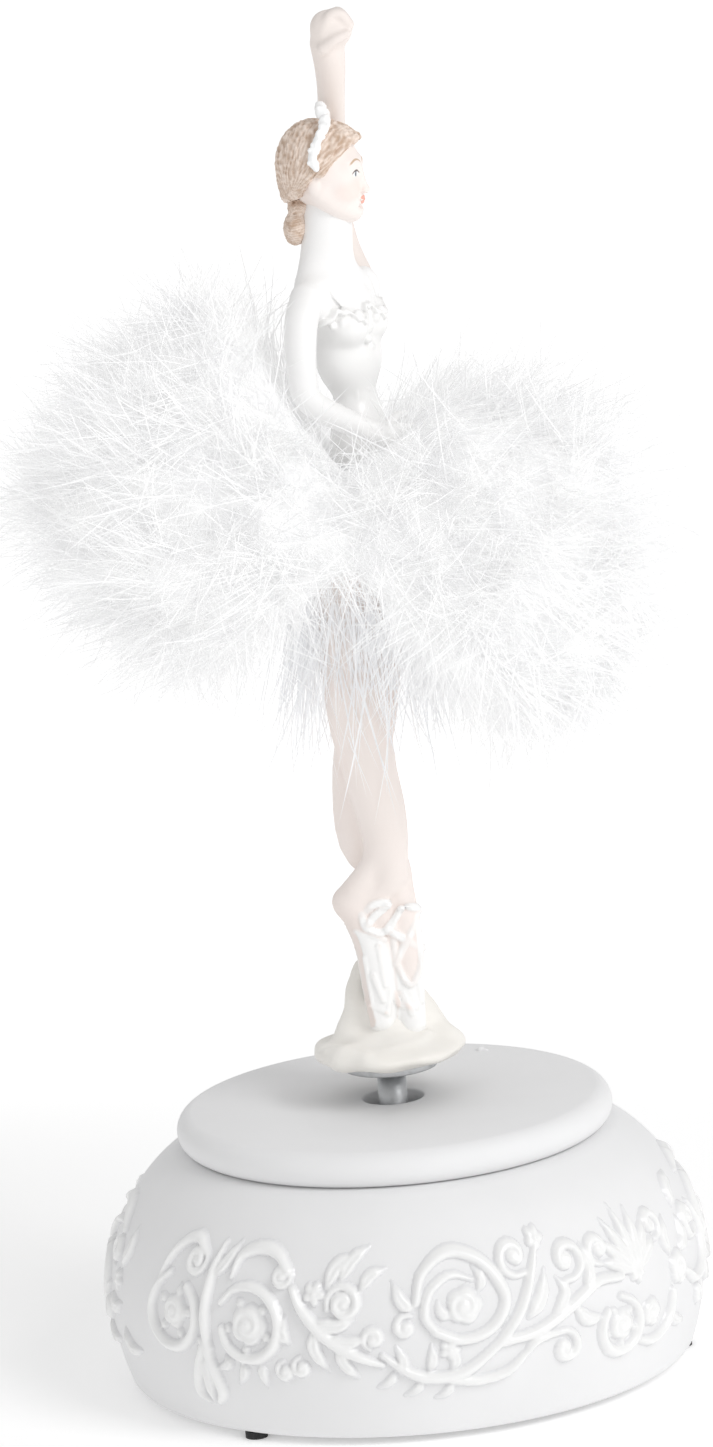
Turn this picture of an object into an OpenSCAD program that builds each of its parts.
// Wind-up musical figurine: a ballerina on a round cast base that turns to an 18-note
// comb movement.  Origin: centre of the base on the surface that the rubber feet stand on,
// on the axis of the turning spindle.  +Z is up, and the dancer faces +X at rest.

/* [Base] */
// Height of the rubber feet under the shell
foot_h = 1.2; // [1:0.1:3]
// Radius of one rubber foot
foot_r = 1.9; // [1.5:0.1:2]
// Height of the bulbous shell above its feet
shell_h = 39.6; // [39:0.5:60]
// Largest radius of the shell
shell_r = 51.3; // [49:0.5:70]
// Height above the table at which the shell is widest
shell_wide_z = 15.5; // [12:0.5:20]
// How much the shell draws in below its widest place
foot_draw = 2.7; // [1:0.1:4]
// Width of the rounded shoulder, measured inwards from the widest radius
shoulder_w = 23.8; // [15:0.2:26]
// Height of the ellipse that the shoulder follows
shoulder_h = 28; // [26:0.5:60]
// Wall of the cast shell
shell_wall = 3.6; // [2.5:0.1:5]
// Radius of the round-edged slab on top of the shell
slab_r = 37.6; // [30:0.2:44]
// Thickness of the slab
slab_h = 6.2; // [4:0.1:9]
// Radius of the hole that the spindle turns in
spindle_hole_r = 5.25; // [4.5:0.05:8]
// Radius of the bead of glue left on the slab
bead_r = 0.7; // [0.3:0.1:1.2]

/* [Frieze] */
// Number of scroll units around the base
frieze_units = 10; // [6:1:14]
// Height above the table of the middle of the frieze
frieze_z = 19.5; // [17:0.5:22]
// How far the scrollwork stands proud of the shell
relief_h = 1.1; // [0.6:0.1:1.6]

/* [Bottom plate and key] */
// Radius of the recess that takes the bottom plate and the key
recess_r = 44.4; // [42:0.1:45]
// Depth of that recess up to the ledge, above the table
ledge_z = 14; // [13:0.5:16]
// Thickness of the bottom plate
plate_h = 2; // [1.5:0.1:3]
// Radius of the plate screws' threads
screw_r = 1.25; // [1:0.05:1.5]
// Length of the wings of the winding key
key_l = 22; // [16:1:30]
// Thickness of the key's wings
key_t = 1.6; // [1.2:0.1:2.5]
// Height of the key's wings
key_h = 7; // [5:0.5:7]

/* [Movement] */
// Thickness of the movement's bedplate
bed_h = 2.2; // [1.8:0.1:3]
// Radius of the winding arbor
arbor_r = 1.5; // [1.2:0.1:1.8]
// Radius of the spring barrel's drum
drum_r = 10; // [9:0.1:10]
// Radius of the spindle that turns the dancer
spindle_r = 2.5; // [2:0.1:3]
// Radius of the pinned cylinder
cylinder_r = 6.5; // [5.5:0.1:6.5]
// Length of the pinned cylinder
cylinder_l = 16; // [14:0.5:16]
// Number of teeth on the comb
notes = 18; // [12:1:22]
// Height of the cylinder's axis above the table
train_z = 24; // [24:0.1:24]

/* [Figure] */
// Radius of the turntable disc under the figure
disc_r = 8.2; // [6:0.1:10]
// Thickness of the turntable disc
disc_h = 1.5; // [1:0.1:2.5]
// Clear height between the slab and the turntable disc
lift = 5.4; // [3:0.1:9]
// Radius of the foot of the swirled mound
mound_r = 13; // [11:0.2:16]
// Turn of the dancer's shoulders towards her right
torso_yaw = 35; // [0:5:45]
// Radius of the feather tutu to the sides
tutu_r = 58; // [45:1:62]
// Radius of the feather tutu to the front and the back of the hips
tutu_r_thin = 45; // [35:1:58]

/* [Clearances] */
// Radial clearance of a running fit
run_fit = 0.06; // [0.03:0.01:0.1]
// Radial clearance of a screw or a pressed pin in its hole
screw_fit = 0.04; // [0.02:0.01:0.08]
// Radial gap of the bottom plate in its recess
plate_gap = 0.3; // [0.2:0.05:0.6]
// Gap between pieces that pass one another
air = 0.4; // [0.3:0.05:0.6]

/* [Hidden] */

shell_top = foot_h + shell_h;
slab_top = shell_top + slab_h;
cavity_top = shell_top - shell_wall - 0.4;
ledge_r = recess_r - 2.9;
ledge_h = 3;
plate_z = ledge_z - plate_h;
bed_z = ledge_z;
bed_top = bed_z + bed_h;
boss_angles = [75, 195, 315];
boss_r = 3.6;
boss_h = 5;
boss_relief = 0.3;
boss_pitch_r = recess_r - boss_r - 0.3;
screw_head_r = 2.4;
screw_head_h = 1.4;
screw_l = plate_h + ledge_h - 0.7;
foot_pitch_r = shell_r - foot_draw - foot_r - 0.2;

key_hub_r = 3.2;
key_hub_z = foot_h + 2.3;
key_hub_top = plate_z - 0.5;
ratchet_z = bed_top + air;
ratchet_h = 1.2;
ratchet_r = 6;
ratchet_root = 4.8;
ratchet_teeth = 12;
flange_z = ratchet_z + ratchet_h + 0.6;
flange_h = 1.4;
flange_top = flange_z + flange_h;
crown_m = 0.65;
crown_teeth = 36;
crown_r = crown_m * crown_teeth / 2;
crown_w = 2;
pinion_teeth = 10;
pinion_pitch_r = crown_m * pinion_teeth / 2;
drum_wall = 0.8;
drum_top = 30.2;
cover_h = 1.2;
cover_hub_r = 3.5;
cover_hub_h = 0.9;
spindle_z = drum_top + cover_h + cover_hub_h;
stud_r = 1.5;
bridge_z = spindle_z + 0.3;
bridge_h = 1.5;
bridge_w = 8;
pillar_r = 2.2;
pillar_y = 15.5;

pinion_x = crown_r - 0.9;
pinion_w = 1.8;
inner_bracket_x = pinion_x + pinion_w + air;
bracket_t = 1.2;
cylinder_x = inner_bracket_x + bracket_t + air;
wheel_x = cylinder_x + cylinder_l + air;
wheel_w = 1.2;
outer_bracket_x = wheel_x + wheel_w + air;
train_m = 0.5;
wheel_teeth = 30;
worm_wheel_teeth = 20;
train_arbor_r = 1;
idler_y = train_m * (wheel_teeth + pinion_teeth) / 2;
worm_wheel_x = outer_bracket_x + 0.6;
worm_r = 1.5;
worm_core_r = 0.85;
worm_tip_r = 1.92;
worm_lead = PI * train_m;
worm_crest = 0.13;
worm_flank = 0.3;
worm_x = worm_wheel_x + wheel_w / 2;
worm_y = idler_y + train_m * worm_wheel_teeth / 2 + worm_r;
worm_z = 21.4;
worm_l = 5.2;
governor_top = 32.2;
vane_r = 3.4;
vane_z = 28.9;
vane_h = 2.2;
pivot_r = 0.45;
pin_h = 0.6;

comb_gap = 0.3;
comb_tip_y = -(cylinder_r + pin_h + comb_gap);
comb_back_y = -21;
comb_root_y = -16;
comb_t = 0.6;
comb_margin = 0.7;

disc_z = slab_top + lift;
mound_z = disc_z + disc_h;
stud_top = mound_z + 2.6;
toe_z = mound_z + 7;
lip_h = 17;
fig_fn = 20;

tutu_z = 152;
tutu_in_r = 8.5;
tutu_wedges = 28;

// ---------------------------------------------------------------- shared shapes

// Radius of the shell's outside at height z, grown outwards by g
function shell_radius(z, g = 0) = z < shell_wide_z
    ? shell_r + g - foot_draw * pow((shell_wide_z - z) / (shell_wide_z - foot_h), 2)
    : shell_r - shoulder_w
      + (shoulder_w + g) * sqrt(max(0, 1 - pow((z - shell_wide_z) / (shoulder_h + g), 2)));

// Half outline of the shell, from z0 to z1
function shell_outline(z0, z1, g = 0, steps = 22) = concat([[0, z0]],
    [for (i = [0:steps]) let (z = z0 + (z1 - z0) * i / steps) [shell_radius(z, g), z]], [[0, z1]]);

function involute(a) = tan(a) - a * PI / 180;

// Half the angle of a tooth at radius r, for a tooth that fills `fill` of the pitch
function tooth_half(m, teeth, r, fill) = let (rb = m * teeth / 2 * cos(20), a = acos(min(1, rb / r)))
    fill * 180 / teeth + (involute(20) - involute(a)) * 180 / PI;

// Spur gear outline with a tooth centred on +X
module gear_2d(m, teeth, fill = 0.38, addendum = 0.9, dedendum = 1.15) {
    pitch_r = m * teeth / 2;
    tip = pitch_r + m * addendum;
    root = pitch_r - m * dedendum;
    start = max(root + 0.02, pitch_r * cos(20));
    radii = [for (i = [0:4]) start + (tip - start) * i / 4];
    polygon([for (t = [0:teeth - 1]) let (c = t * 360 / teeth) each concat(
        [[root * cos(c - tooth_half(m, teeth, start, fill)), root * sin(c - tooth_half(m, teeth, start, fill))]],
        [for (r = radii) let (h = tooth_half(m, teeth, r, fill)) [r * cos(c - h), r * sin(c - h)]],
        [for (i = [4:-1:0]) let (r = radii[i], h = tooth_half(m, teeth, r, fill)) [r * cos(c + h), r * sin(c + h)]],
        [[root * cos(c + tooth_half(m, teeth, start, fill)), root * sin(c + tooth_half(m, teeth, start, fill))]])]);
}

// Puts a shape drawn about +Z on an axis that runs along +X, through (x, y) at the train's height
module along_x(x, y = 0) { translate([x, y, train_z]) rotate([90, 0, 90]) children(); }

module at_bosses() { for (a = boss_angles) rotate(a) translate([boss_pitch_r, 0, 0]) children(); }

module pan_screw(r, length, head_r, head_h) {
    translate([0, 0, -head_h]) difference() {
        cylinder(r = head_r, h = head_h, $fn = 32);
        translate([-head_r - 1, -0.3, -0.1]) cube([2 * head_r + 2, 0.6, 0.6]);
    }
    cylinder(r = r, h = length, $fn = 32);
}

// A round stretch of a limb between two stations, each [x, y, z, radius]
module limb(stations, n = fig_fn) {
    for (i = [0:len(stations) - 2]) hull() {
        ball(stations[i], n);
        ball(stations[i + 1], n);
    }
}

module ball(s, n = fig_fn) { translate([s[0], s[1], s[2]]) sphere(r = s[3], $fn = n); }

// An ellipsoid with half axes h, turned by yaw
module egg(c, h, yaw = 0, n = fig_fn) {
    translate(c) rotate([0, 0, yaw]) scale([h[0], h[1], h[2]]) sphere(r = 1, $fn = n);
}

// ---------------------------------------------------------------- base

// The hollow of the shell: recess, ledge and cavity in one outline
module shell_hollow() difference() {
    rotate_extrude($fn = 96) polygon(concat(
        [[0, foot_h - 1], [recess_r, foot_h - 1], [recess_r, ledge_z], [ledge_r, ledge_z], [ledge_r, ledge_z + ledge_h]],
        [for (i = [0:14]) let (z = ledge_z + ledge_h + 0.2 + (cavity_top - ledge_z - ledge_h - 0.2) * i / 14)
            [shell_radius(z, -shell_wall), z]], [[0, cavity_top]]));
    at_bosses() translate([0, 0, ledge_z + boss_relief]) cylinder(r = boss_r, h = boss_h, $fn = 40);
}

module base_shell() color("whitesmoke") difference() {
    rotate_extrude($fn = 96) polygon(shell_outline(foot_h, shell_top));
    shell_hollow();
    translate([0, 0, cavity_top - 1]) cylinder(r = spindle_hole_r, h = shell_wall + 3, $fn = 64);
    at_bosses() translate([0, 0, ledge_z - 1]) cylinder(r = screw_r + screw_fit, h = ledge_h + 0.6, $fn = 32);
}

module plinth_slab() color("whitesmoke") {
    edge = slab_h / 2;
    rotate_extrude($fn = 128) polygon(concat(
        [[spindle_hole_r, shell_top], [slab_r - edge, shell_top]],
        [for (a = [-75:15:75]) [slab_r - edge + edge * cos(a), shell_top + edge + edge * sin(a)]],
        [[slab_r - edge, slab_top], [spindle_hole_r, slab_top]]));
    rotate(59) translate([31, 0, slab_top]) intersection() {
        sphere(r = bead_r, $fn = 24);
        translate([-2, -2, 0]) cube(4);
    }
}

// One scroll of the frieze, on the surface of the shell: u runs along the band in millimetres
// and v runs upwards from its middle
function on_shell(u, v, out) = let (z = frieze_z + v, a = u / shell_r * 180 / PI, r = shell_radius(z) + out)
    [r * cos(a), r * sin(a), z];

module scroll_dot(u, v, r) { translate(on_shell(u, v, 0)) sphere(r = r, $fn = 8); }

module scroll_line(points, r) {
    for (i = [0:len(points) - 2]) hull() {
        scroll_dot(points[i][0], points[i][1], r);
        scroll_dot(points[i + 1][0], points[i + 1][1], r);
    }
}

function spiral(u, v, r0, r1, a0, a1, steps) = [for (i = [0:steps])
    let (t = i / steps, r = r0 + (r1 - r0) * t, a = a0 + (a1 - a0) * t) [u + r * cos(a), v + r * sin(a)]];

module relief_frieze() color("white") {
    pitch = 2 * PI * shell_r / frieze_units;
    difference() {
        for (i = [0:frieze_units - 1]) rotate(i * 360 / frieze_units) {
            side = i % 2 == 0 ? 1 : -1;
            scroll_line(spiral(0, 0, 2, 8.6, -100 * side, 300 * side, 9), relief_h);
            scroll_line([[-pitch / 2, -6 * side], [-pitch / 4, -8.5 * side], [4, -7 * side]], relief_h);
            scroll_dot(0, 0, relief_h * 1.9);
            scroll_line([[pitch / 2 - 2, 5 * side], [pitch / 2 - 6, -2 * side]], relief_h * 1.2);
        }
        rotate_extrude($fn = 128) polygon(shell_outline(foot_h, shell_top, 0.03));
    }
}

module bottom_plate() color("lightgray") difference() {
    translate([0, 0, plate_z]) cylinder(r = recess_r - plate_gap, h = plate_h, $fn = 96);
    translate([0, 0, plate_z - 1]) cylinder(r = arbor_r + 0.6, h = plate_h + 2, $fn = 32);
    at_bosses() translate([0, 0, plate_z - 1]) cylinder(r = screw_r + screw_fit, h = plate_h + 2, $fn = 32);
    at_bed_screws() translate([0, 0, plate_z - 1]) cylinder(r = 1 + screw_fit, h = plate_h + 2, $fn = 32);
}

module plate_screws() color("silver") at_bosses() translate([0, 0, plate_z])
    pan_screw(screw_r, screw_l, screw_head_r, screw_head_h);

module rubber_feet() color("dimgray") for (a = [114, 234, 354]) rotate(a)
    translate([foot_pitch_r, 0, 0]) cylinder(r = foot_r, h = foot_h, $fn = 32);

// ---------------------------------------------------------------- fixed parts of the movement

module at_bed_screws() { for (p = [[-13, 14], [-13, -14], [25, 20]]) translate([p[0], p[1], 0]) children(); }

module bedplate() color("silver") difference() {
    intersection() {
        translate([-17, -22.5, bed_z]) cube([56, 45, bed_h]);
        translate([0, 0, bed_z - 1]) cylinder(r = ledge_r - 0.7, h = bed_h + 2, $fn = 96);
    }
    translate([0, 0, bed_z - 1]) cylinder(r = arbor_r + run_fit, h = bed_h + 2, $fn = 32);
    translate([wheel_x - 0.3, -5.5, bed_z - 1]) cube([wheel_w + 0.6, 11, bed_h + 2]);
    translate([worm_x, worm_y, bed_top - 1]) cylinder(r = pivot_r + run_fit, h = 2, $fn = 24);
    at_bed_screws() translate([0, 0, bed_z - 1]) cylinder(r = 1 + screw_fit, h = bed_h + 2, $fn = 32);
    at_bosses() translate([0, 0, bed_z - 1]) cylinder(r = boss_r + 0.5, h = bed_h + 2, $fn = 32);
}

module bedplate_screws() color("silver") at_bed_screws() translate([0, 0, plate_z])
    pan_screw(1, plate_h + bed_h - 0.2, 1.9, 1);

module comb_rail() color("gray") difference() {
    translate([cylinder_x - 0.6, comb_back_y, bed_top])
        cube([cylinder_l + 1.2, comb_root_y - comb_back_y, train_z - comb_t / 2 - bed_top]);
    at_comb_screws() translate([0, 0, train_z - 6]) cylinder(r = 0.8 + screw_fit, h = 8, $fn = 24);
}

module at_comb_screws() {
    for (x = [cylinder_x + 2.5, cylinder_x + cylinder_l / 2, cylinder_x + cylinder_l - 2.5])
        translate([x, (comb_back_y + comb_root_y) / 2, 0]) children();
}

module comb() color("lightsteelblue") {
    pitch = (cylinder_l - 2 * comb_margin) / notes;
    difference() {
        translate([cylinder_x + 0.2, comb_back_y, train_z - comb_t / 2])
            cube([cylinder_l - 0.4, comb_tip_y - comb_back_y, comb_t]);
        for (i = [0:notes]) translate([cylinder_x + comb_margin + i * pitch - 0.12, comb_root_y,
            train_z - comb_t]) cube([0.24, comb_tip_y - comb_root_y + 1, 2 * comb_t]);
        translate([cylinder_x, comb_root_y, train_z - comb_t])
            cube([comb_margin - 0.1, comb_tip_y - comb_root_y + 1, 2 * comb_t]);
        translate([cylinder_x + cylinder_l - comb_margin + 0.1, comb_root_y, train_z - comb_t])
            cube([comb_margin, comb_tip_y - comb_root_y + 1, 2 * comb_t]);
        at_comb_screws() translate([0, 0, train_z - 1]) cylinder(r = 0.8 + screw_fit, h = 2, $fn = 24);
    }
}

module comb_screws() color("silver") at_comb_screws() translate([0, 0, train_z + comb_t / 2])
    rotate([180, 0, 0]) pan_screw(0.8, 4, 1.5, 0.9);

// An upright that carries an arbor of the train
module upright(x, y, half_w) {
    difference() {
        union() {
            translate([x, y - half_w, bed_top]) cube([bracket_t, 2 * half_w, train_z - bed_top]);
            along_x(x, y) cylinder(r = half_w, h = bracket_t, $fn = 48);
        }
        along_x(x - 1, y) cylinder(r = train_arbor_r + run_fit, h = bracket_t + 2, $fn = 32);
    }
}

module cylinder_brackets() color("goldenrod") {
    upright(inner_bracket_x, 0, 3);
    upright(outer_bracket_x, 0, 3);
}

module idler_brackets() color("goldenrod") {
    upright(wheel_x - air - bracket_t, idler_y, 2.2);
    upright(worm_wheel_x + wheel_w + air, idler_y, 2.2);
}

module governor_bracket() color("goldenrod") difference() {
    translate([worm_x - 1.6, worm_y + vane_r + 0.5, bed_top]) union() {
        cube([3.2, 1.2, governor_top + 0.4 - bed_top]);
        translate([0, -vane_r - 2.1, governor_top - 0.8 - bed_top]) cube([3.2, vane_r + 2.1, 1.2]);
    }
    translate([worm_x, worm_y, governor_top - 2]) cylinder(r = pivot_r + run_fit, h = 4, $fn = 24);
}

module barrel_bridge() color("silver") difference() {
    union() {
        hull() for (s = [-1, 1]) translate([0, s * pillar_y, bridge_z])
            cylinder(r = bridge_w / 2 - 0.8, h = bridge_h, $fn = 32);
        translate([0, 0, bridge_z]) cylinder(r = bridge_w / 2 + 1, h = bridge_h, $fn = 48);
        for (s = [-1, 1]) translate([0, s * pillar_y, bed_top])
            cylinder(r = pillar_r, h = bridge_z - bed_top, $fn = 40);
    }
    translate([0, 0, bridge_z - 1]) cylinder(r = spindle_r + run_fit, h = bridge_h + 2, $fn = 48);
    for (s = [-1, 1]) translate([0, s * pillar_y, bridge_z - 4])
        cylinder(r = 0.8 + screw_fit, h = bridge_h + 5, $fn = 24);
}

module bridge_screws() color("silver") for (s = [-1, 1]) translate([0, s * pillar_y, bridge_z + bridge_h])
    rotate([180, 0, 0]) pan_screw(0.8, 4, 1.6, 0.9);

// ---------------------------------------------------------------- winding and its click

module winding_key() color("goldenrod") difference() {
    union() {
        translate([0, 0, key_hub_z]) cylinder(r = key_hub_r, h = key_hub_top - key_hub_z, $fn = 48);
        translate([-key_l / 2 + 2, -key_t / 2, foot_h + 0.8]) cube([key_l - 4, key_t, key_h]);
        for (s = [-1, 1]) translate([s * (key_l / 2 - key_h / 2), key_t / 2, foot_h + 0.8 + key_h / 2])
            rotate([90, 0, 0]) cylinder(r = key_h / 2, h = key_t, $fn = 40);
    }
    translate([0, 0, foot_h + 3]) cylinder(r = arbor_r + screw_fit, h = 12, $fn = 32);
}

module winding_arbor() color("silver") {
    translate([0, 0, foot_h + 3]) cylinder(r = arbor_r, h = drum_top - foot_h - 3.4, $fn = 32);
    translate([0, 0, ratchet_z + ratchet_h]) cylinder(r = arbor_r + 1.2, h = 0.35, $fn = 32);
}

module ratchet_wheel() color("silver") translate([0, 0, ratchet_z]) difference() {
    linear_extrude(ratchet_h) polygon([for (i = [0:ratchet_teeth - 1]) let (a = i * 360 / ratchet_teeth)
        each [[ratchet_root * cos(a), ratchet_root * sin(a)], [ratchet_r * cos(a), ratchet_r * sin(a)],
              [(ratchet_r * 0.6 + ratchet_root * 0.4) * cos(a + 12),
               (ratchet_r * 0.6 + ratchet_root * 0.4) * sin(a + 12)]]]);
    translate([0, 0, -1]) cylinder(r = arbor_r + screw_fit, h = ratchet_h + 2, $fn = 32);
}

click_at = [-7.2, 7.2];
click_stud_r = 0.7;

module click_pawl() color("silver") translate([0, 0, ratchet_z]) difference() {
    union() {
        translate([click_at[0], click_at[1], 0]) cylinder(r = 1.7, h = ratchet_h - 0.2, $fn = 40);
        linear_extrude(ratchet_h - 0.2) polygon([[-5.2, 0.25], [-5.55, 1.2], [-6.1, 2.5], [-6.3, 5.9],
            [-8.4, 6.1], [-7.4, 2.4], [-6.6, 0.25]]);
    }
    translate([click_at[0], click_at[1], -1]) cylinder(r = click_stud_r + run_fit, h = 4, $fn = 24);
}

module click_stud() color("silver") translate([click_at[0], click_at[1], bed_top])
    cylinder(r = click_stud_r, h = flange_z - bed_top - air, $fn = 24);

module click_spring() color("silver") translate([0, 0, bed_top]) union() {
    translate([-13.6, 3.4, 0]) cube([1.2, 1.2, 1.6]);
    translate([-12.4, 3.8, 0.5]) cube([2.6, 0.3, 1]);
}

// ---------------------------------------------------------------- barrel, spindle and disc

module spring_barrel() color("goldenrod") {
    difference() {
        union() {
            translate([0, 0, flange_z]) cylinder(r = crown_r + crown_w / 2, h = flange_h, $fn = 72);
            translate([0, 0, flange_z]) cylinder(r = drum_r, h = drum_top - flange_z, $fn = 72);
        }
        translate([0, 0, flange_top]) cylinder(r = drum_r - drum_wall, h = drum_top, $fn = 72);
        translate([0, 0, flange_z - 1]) cylinder(r = arbor_r + run_fit, h = flange_h + 2, $fn = 32);
    }
    for (i = [0:crown_teeth - 1]) rotate(i * 360 / crown_teeth)
        translate([crown_r - crown_w / 2, 0, flange_top]) rotate([90, 0, 90]) linear_extrude(crown_w - 0.02)
            polygon([[-0.68, -0.2], [0.68, -0.2], [0.68, 0], [0.2, 1.5], [-0.2, 1.5], [-0.68, 0]]);
}

module barrel_cover() color("goldenrod") difference() {
    union() {
        translate([0, 0, drum_top]) cylinder(r = drum_r, h = cover_h, $fn = 72);
        translate([0, 0, drum_top]) cylinder(r = cover_hub_r, h = cover_h + cover_hub_h, $fn = 48);
    }
    translate([0, 0, drum_top - 1]) cylinder(r = stud_r + screw_fit, h = 5, $fn = 32);
}

// A flat spiral of spring strip inside the drum
module mainspring() color("slategray") {
    turns = 5;
    strip = 0.35;
    r0 = arbor_r + 0.6;
    r1 = drum_r - drum_wall - strip - 0.1;
    steps = 20 * turns;
    inner = [for (i = [0:steps]) let (a = i * 360 * turns / steps, r = r0 + (r1 - r0) * i / steps)
        [r * cos(a), r * sin(a)]];
    outer = [for (i = [steps:-1:0]) let (a = i * 360 * turns / steps, r = r0 + (r1 - r0) * i / steps + strip)
        [r * cos(a), r * sin(a)]];
    translate([0, 0, flange_top + 0.4]) linear_extrude(drum_top - flange_top - 0.8)
        polygon(concat(inner, outer));
}

module spindle() color("darkgray") {
    translate([0, 0, drum_top + 0.2]) cylinder(r = stud_r, h = spindle_z - drum_top - 0.2, $fn = 32);
    translate([0, 0, spindle_z]) cylinder(r = spindle_r, h = disc_z - spindle_z, $fn = 48);
    translate([0, 0, disc_z]) cylinder(r = stud_r, h = stud_top - disc_z, $fn = 32);
}

module turntable_disc() color("darkgray") difference() {
    translate([0, 0, disc_z]) cylinder(r = disc_r, h = disc_h, $fn = 64);
    translate([0, 0, disc_z - 1]) cylinder(r = stud_r + screw_fit, h = disc_h + 2, $fn = 32);
}

// ---------------------------------------------------------------- music cylinder and train

module music_cylinder() color("goldenrod") along_x(cylinder_x) difference() {
    cylinder(r = cylinder_r, h = cylinder_l, $fn = 72);
    translate([0, 0, -1]) cylinder(r = train_arbor_r + screw_fit, h = cylinder_l + 2, $fn = 32);
}

module cylinder_pins() color("goldenrod") along_x(cylinder_x) {
    pitch = (cylinder_l - 2 * comb_margin) / notes;
    for (n = [0:notes - 1], k = [0:2]) rotate(137.5 * n + 120 * k + 31 * ((n * k) % 3))
        translate([cylinder_r + 0.01, 0, comb_margin + (n + 0.5) * pitch]) rotate([0, 90, 0])
            cylinder(r = 0.16, h = pin_h - 0.01, $fn = 16);
}

module cylinder_arbor() color("silver") along_x(pinion_x - 0.4)
    cylinder(r = train_arbor_r, h = outer_bracket_x + bracket_t + 0.3 - pinion_x + 0.4, $fn = 32);

module spur(m, teeth, x, y, w, turn = 0) {
    along_x(x, y) difference() {
        linear_extrude(w) rotate(turn) gear_2d(m, teeth);
        translate([0, 0, -1]) cylinder(r = train_arbor_r + screw_fit, h = w + 2, $fn = 32);
    }
}

module cylinder_pinion() color("goldenrod") spur(crown_m, pinion_teeth, pinion_x, 0, pinion_w);

module cylinder_wheel() color("goldenrod") spur(train_m, wheel_teeth, wheel_x, 0, wheel_w);

module idler_pinion() color("silver")
    spur(train_m, pinion_teeth, wheel_x, idler_y, wheel_w, 180 / pinion_teeth);

module worm_wheel() color("goldenrod") spur(train_m, worm_wheel_teeth, worm_wheel_x, idler_y, wheel_w);

module idler_arbor() color("silver") along_x(wheel_x - air - bracket_t - 0.3, idler_y)
    cylinder(r = train_arbor_r, h = worm_wheel_x + wheel_w + air + 2 * bracket_t + air + 0.6 - wheel_x, $fn = 32);

// ---------------------------------------------------------------- governor

// Radius of the worm's outline at angle a from the middle of its thread
function thread_r(a) = let (t = abs(a) / 360)
    t < worm_crest ? worm_tip_r
    : t > worm_flank ? worm_core_r
    : worm_tip_r + (worm_core_r - worm_tip_r) * (t - worm_crest) / (worm_flank - worm_crest);

// Right-handed worm of one start: its thread faces +Y at the height of the train
module governor_worm() color("silver") translate([worm_x, worm_y, 0]) difference() {
    translate([0, 0, worm_z]) rotate(90 - 360 * (train_z - worm_z) / worm_lead)
        linear_extrude(worm_l, twist = -360 * worm_l / worm_lead, slices = round(18 * worm_l / worm_lead))
            polygon([for (i = [0:23]) let (a = -180 + i * 15) [thread_r(a) * cos(a), thread_r(a) * sin(a)]]);
    translate([0, 0, worm_z - 1]) cylinder(r = 0.5, h = worm_l + 2, $fn = 24);
}

module air_brake() color("silver") translate([worm_x, worm_y, 0]) {
    translate([0, 0, bed_top - 0.8]) cylinder(r = pivot_r, h = governor_top + 0.2 - bed_top + 0.8, $fn = 24);
    translate([0, 0, worm_z + worm_l + 0.2]) cylinder(r = 0.9, h = vane_z + vane_h + 0.1 - worm_z - worm_l - 0.2, $fn = 24);
    for (s = [0, 1]) translate([s > 0 ? 0.85 : -vane_r, -0.2, vane_z]) cube([vane_r - 0.85, 0.4, vane_h]);
}

// ---------------------------------------------------------------- figure

near_leg = [[-0.6, -3, 142, 5.6], [-0.8, -2.9, 117, 5.4], [1.5, -2.6, 104, 4.6], [3, -2.4, 92, 3.6],
    [2.2, -2.2, 85, 3.1], [-4.2, -1.9, 83.4, 2.7]];
near_foot = [[-4.2, -1.9, 83.4, 2.7], [-1.8, -1.8, 74, 3.2], [0.2, -1.5, 64.5, 2.5]];
far_leg = [[3.2, 3, 142, 5.6], [1.4, 2.8, 117, 5], [-1.4, 2.6, 104, 4.6], [-1.8, 2.4, 93, 3.6],
    [1, 1.9, 85.5, 3.2]];
far_foot = [[1, 1.9, 85.5, 3.2], [4.2, 1.2, 76, 3.2], [3.6, 1, 64.5, 2.5]];

module feet() { limb(near_foot); limb(far_foot); }

module legs_shape() { limb(near_leg); limb(far_leg); feet(); egg([1.4, 0, 146], [7.6, 7, 9], torso_yaw / -2); }

module figure_legs() color("linen") difference() {
    legs_shape();
    translate([-20, -20, toe_z - 10]) cube([40, 40, 10]);
}

// Half outline of the mound: a rolled rim that sweeps up into a lip of drapery round the feet
mound_outline = [[0, 0], [mound_r - 1.6, 0], [mound_r - 0.4, 0.7], [mound_r, 1.9], [mound_r - 0.4, 3.2],
    [mound_r - 2, 4.8], [mound_r - 4, 7.6], [mound_r - 5.4, 12], [mound_r - 6.4, lip_h], [0, lip_h]];

module figure_mound() color("ivory") difference() {
    translate([0, 0, mound_z]) rotate_extrude($fn = 72) polygon(mound_outline);
    translate([0, 0, mound_z + lip_h * 0.72]) rotate([16, 8, 0]) translate([-25, -25, 0]) cube([50, 50, 30]);
    feet();
    translate([0, 0, mound_z - 1]) cylinder(r = stud_r + screw_fit, h = stud_top - mound_z + 1.2, $fn = 32);
}

// Shoulder point at distance s along the shoulder line, at height z
function shoulder(s, z, front = 0) = [1 + s * sin(torso_yaw) + front * cos(torso_yaw),
    s * cos(torso_yaw) - front * sin(torso_yaw), z];

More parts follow.
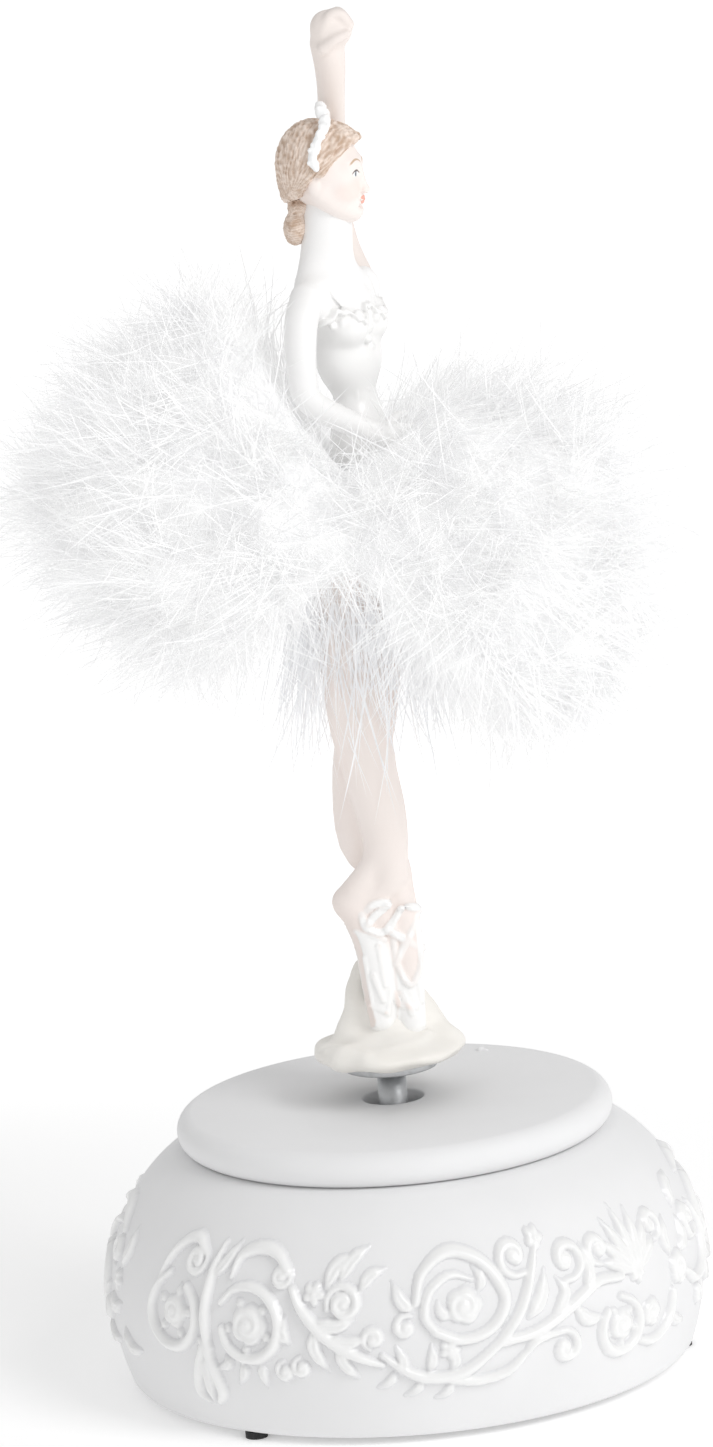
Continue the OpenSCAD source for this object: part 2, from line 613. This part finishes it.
module torso_shape() {
    hull() { egg([1.6, 0, 150], [6, 7, 3], -torso_yaw); egg([3.2, -0.6, 164], [3.9, 5, 2.4], -torso_yaw); }
    hull() { egg([3.2, -0.6, 164], [3.9, 5, 2.4], -torso_yaw); egg([2.4, -0.4, 176], [4.9, 6.2, 3], -torso_yaw); }
    hull() { egg([2.4, -0.4, 176], [4.9, 6.2, 3], -torso_yaw); egg([1.9, -0.2, 184], [4.9, 7, 3.6], -torso_yaw); }
    for (s = [-1, 1]) {
        hull() { egg([1.9, -0.2, 184], [4.2, 6, 3], -torso_yaw); egg(shoulder(s * 8.2, 187), [2.9, 2.9, 2.9]); }
        hull() { egg(shoulder(s * 7.6, 187.6), [2.4, 2.4, 2.4]); egg([1, 0, 192.5], [3.1, 3.1, 2]); }
        egg(shoulder(s * 3.1, 181.6, 4), [3.2, 3, 2.9], -torso_yaw);
    }
    hull() { egg([1, 0, 190], [3.7, 4, 3]); egg([1.4, 0, 198], [3.4, 3.2, 3]); }
    hull() { egg([1.4, 0, 198], [3.4, 3.2, 3]); egg([1.2, 0, 202], [3.4, 3.2, 3]); }
}

module figure_torso() color("white") difference() { torso_shape(); legs_shape(); head_shape(); }

module head_shape() {
    egg([0.4, 0, 208], [6.6, 6, 7.6]);
    hull() { egg([2.6, 0, 205.6], [4.6, 4.4, 5.4]); egg([4.4, 0, 200.8], [2.1, 2, 2]); }
    hull() { egg([2.6, 0, 204], [5.4, 1.6, 3]); egg([7.2, 0, 203.4], [0.9, 0.7, 0.6]); }
}

module hair_shape() {
    egg([-0.4, 0, 208.6], [6.5, 6.6, 7.5]);
    for (i = [0:8]) let (a = 20 + i * 40) hull() {
        egg([-4.6, 0, 198.4], [2.2, 2.6, 3]);
        egg([-3.6, 1.2 * sin(a), 204 + cos(a)], [2, 2.4, 2]);
    }
}

module figure_head() color("linen") difference() {
    head_shape();
    intersection() { hair_shape(); hair_zone(); }
}

// The side of the head that the hair covers: above and behind the hairline
module hair_zone() {
    translate([-20, -20, 190]) rotate([0, 0, 0]) cube([20.6, 40, 40]);
    translate([3.4, 0, 212.4]) rotate([0, 24, 0]) translate([-10, -20, -1.4]) cube([16, 40, 20]);
}

module hair() color("tan") difference() {
    union() {
        intersection() { union() { hair_shape(); egg([0.6, 0, 208.6], [6.9, 6.5, 7.6]); } hair_zone(); }
    }
    difference() { head_shape(); intersection() { hair_shape(); hair_zone(); } }
    torso_shape();
}

module headdress() color("white") difference() {
    for (i = [0:8]) let (a = -8 + i * 7, b = -8 + (i + 1) * 7) hull() {
        ball([1.6 - a * 0.03, -7.4 * sin(90 - a) * 0.9, 208.6 + 8 * sin(a), 0.8], 12);
        ball([1.6 - b * 0.03, -7.4 * sin(90 - b) * 0.9, 208.6 + 8 * sin(b), 0.8], 12);
    }
    hair_shape();
    head_shape();
    egg([0.6, 0, 208.6], [6.9, 6.5, 7.6]);
}

raised = [[7.2, 7.8, 187.2, 2.9], [6.4, 10.6, 194, 2.8], [5, 11.6, 203, 2.7], [3.6, 9.4, 212, 2.5],
    [3, 6.4, 219, 2.4], [3.2, 4.4, 224, 2.6]];
module raised_arm() color("linen") difference() {
    union() {
        limb(raised);
        for (i = [0:2]) hull() {
            egg([3.2 + i * 0.2, 4.4 - i * 0.8, 224 + 2.6 * i], [3.1, 1.9, 2.4]);
            egg([3.4 + i * 0.5, 3.6 - i * 0.8, 226.6 + 2.6 * i], [3.1 - i * 0.25, 1.7, 2.4]);
        }
    }
    torso_shape();
    head_shape();
    hair_shape();
}

lowered = [[-3.8, -7.2, 187, 2.9], [-5.2, -10.6, 183, 2.8], [-5.6, -12.6, 176, 2.5], [-4.8, -13.4, 171, 2.4],
    [1, -13.4, 167, 2.2], [7.4, -12, 163.6, 1.9]];
module lowered_arm() color("linen") difference() {
    union() {
        limb(lowered);
        for (i = [0:2]) hull() {
            egg([7.4 + 2.4 * i, -12 + i, 163.6 - 0.5 * i], [2, 1.2, 2.3 - 0.2 * i], 15);
            egg([9.6 + 2.4 * i, -11.2 + i, 163.2 - 0.5 * i], [2, 1.1, 2.2 - 0.3 * i], 15);
        }
    }
    torso_shape();
}

module waist_band() color("white") difference() {
    translate([2.2, -0.3, 154]) scale([1, 1.1, 1]) cylinder(r = 6, h = 4, $fn = 48);
    torso_shape();
    legs_shape();
}

// Half height and radius of the tutu in the direction a, and the height of its middle
function tutu_side(a) = pow(abs(cos(a)), 1.4);
function tutu_reach(a) = tutu_r_thin + (tutu_r - tutu_r_thin) * tutu_side(a);
function tutu_half(a) = 13 + 21 * tutu_side(a);
function tutu_mid(a) = tutu_z - 3 - 6 * cos(a);
function tutu_ring(a) = let (r = tutu_reach(a), h = tutu_half(a), m = tutu_mid(a)) [
    [tutu_in_r, tutu_z - 3], [r * 0.35, m - h * 0.5], [r * 0.62, m - h * 0.86], [r * 0.82, m - h * 0.96],
    [r * 0.96, m - h * 0.6], [r, m], [r * 0.96, m + h * 0.6], [r * 0.82, m + h * 0.96],
    [r * 0.62, m + h * 0.9], [r * 0.38, m + h * 0.5], [tutu_in_r, tutu_z + 4]];

module feather_tutu() color("white") {
    n = tutu_wedges;
    k = len(tutu_ring(0));
    points = [for (i = [0:n - 1]) let (a = i * 360 / n) for (p = tutu_ring(a)) [p[0] * cos(a), p[0] * sin(a), p[1]]];
    faces = [for (i = [0:n - 1], j = [0:k - 1]) let (i2 = (i + 1) % n, j2 = (j + 1) % k)
        each [[i * k + j, i * k + j2, i2 * k + j2], [i * k + j, i2 * k + j2, i2 * k + j]]];
    polyhedron(points, faces);
}

base_shell();
plinth_slab();
relief_frieze();
bottom_plate();
plate_screws();
rubber_feet();
bedplate();
bedplate_screws();
comb();
comb_rail();
comb_screws();
cylinder_brackets();
idler_brackets();
governor_bracket();
barrel_bridge();
bridge_screws();
click_stud();
click_spring();
winding_key();
winding_arbor();
ratchet_wheel();
click_pawl();
spring_barrel();
barrel_cover();
mainspring();
spindle();
turntable_disc();
figure_mound();
figure_legs();
figure_torso();
raised_arm();
lowered_arm();
figure_head();
hair();
headdress();
waist_band();
feather_tutu();
music_cylinder();
cylinder_pins();
cylinder_arbor();
cylinder_pinion();
cylinder_wheel();
idler_arbor();
idler_pinion();
worm_wheel();
governor_worm();
air_brake();
